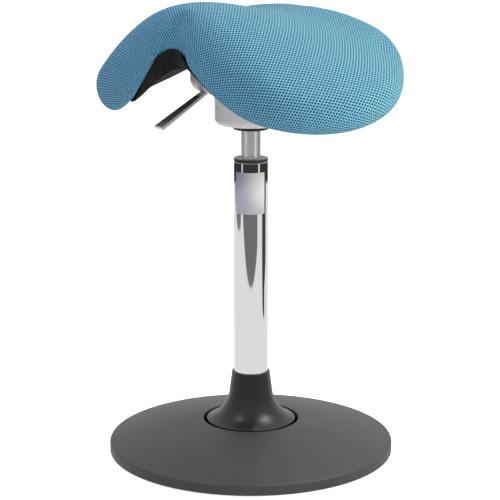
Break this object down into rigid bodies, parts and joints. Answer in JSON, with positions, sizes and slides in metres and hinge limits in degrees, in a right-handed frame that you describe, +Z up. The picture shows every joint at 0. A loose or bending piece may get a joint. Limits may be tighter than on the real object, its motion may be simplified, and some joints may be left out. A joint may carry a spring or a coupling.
{
  "type": "sway stool",
  "caption": "Height-adjustable saddle stool: padded saddle on a gas lift whose column sways on a sprung joint in a weighted round foot.",
  "frame": {"origin": "on the floor, under the column's axis", "axes": "+Z up the column, -Y the way the sitter faces, +X to the sitter's left"},
  "size_m": [0.4932, 0.416, 0.6622],
  "materials": {
    "black_plastic": "moulded, fine grain",
    "bell_plastic": "moulded, soft sheen",
    "weight_steel": "painted",
    "black_rubber": "matt",
    "bright_steel": "zinc plated",
    "chromed_steel": "polished",
    "cast_aluminium": "satin, blasted",
    "turned_aluminium": "turned",
    "shell_plastic": "moulded",
    "foam": "open cell",
    "seat_mesh": "knitted spacer mesh, pale blue",
    "dust_cloth": "woven, black"
  },
  "bodies": {
    "base": {"base_cover": "black_plastic", "base_plate": "weight_steel", "floor_ring": "black_rubber", "base_screws": "bright_steel", "pivot_yoke": "weight_steel", "yoke_bushes": "black_rubber", "stop_ring": "black_rubber"},
    "gimbal": {"gimbal_ring": "bright_steel", "ring_pins": "bright_steel", "ring_bushes": "black_rubber"},
    "column": {"column_hub": "bright_steel", "hub_pins": "bright_steel", "bell": "bell_plastic", "outer_tube": "chromed_steel", "guide_bush": "black_plastic", "tube_floor": "bright_steel", "lower_race": "bright_steel", "bearing_balls": "chromed_steel", "ball_cage": "black_plastic"},
    "rod": {"piston_rod": "chromed_steel", "piston": "turned_aluminium", "piston_seal": "black_rubber", "rod_clip": "bright_steel", "upper_race": "bright_steel", "bumper": "black_rubber"},
    "seat": {"gas_cylinder": "chromed_steel", "rod_guide": "black_plastic", "valve_body": "turned_aluminium", "bracket": "cast_aluminium", "bracket_collar": "black_plastic", "lever_pin": "bright_steel", "seat_shell": "shell_plastic", "seat_foam": "foam", "seat_cover": "seat_mesh", "dust_cover": "dust_cloth", "tee_nuts": "bright_steel", "seat_screws": "bright_steel"},
    "lever": {"lever": "chromed_steel"},
    "valve": {"valve_pin": "bright_steel"}
  },
  "joints": [
    {"name": "sway_fore_aft", "type": "hinge", "parent": "base", "child": "gimbal", "pos_m": [0, 0, 0.03], "axis": [1, 0, 0], "range_deg": [-5, 5], "stiffness_Nm_per_rad": 250},
    {"name": "sway_sideways", "type": "hinge", "parent": "gimbal", "child": "column", "pos_m": [0, 0, 0.03], "axis": [0, 1, 0], "range_deg": [-5, 5], "stiffness_Nm_per_rad": 250},
    {"name": "swivel", "type": "hinge", "parent": "column", "child": "rod", "pos_m": [0, 0, 0.056], "axis": [0, 0, 1], "continuous": true},
    {"name": "height", "type": "slide", "parent": "rod", "child": "seat", "axis": [0, 0, 1], "range_m": [0, 0.2]},
    {"name": "lever_lift", "type": "hinge", "parent": "seat", "child": "lever", "pos_m": [-0.01298, -0.03994, 0.5558], "axis": [-0.9511, 0.309, 0], "range_deg": [0, 5], "stiffness_Nm_per_rad": 4, "springref_deg": -5.73},
    {"name": "valve_press", "type": "slide", "parent": "seat", "child": "valve", "axis": [0, 0, -1], "range_m": [0, 0.0041]}
  ],
  "couplings": [
    {"joint": "valve_press", "follows": "lever_lift", "m_per_rad": 0.046}
  ]
}
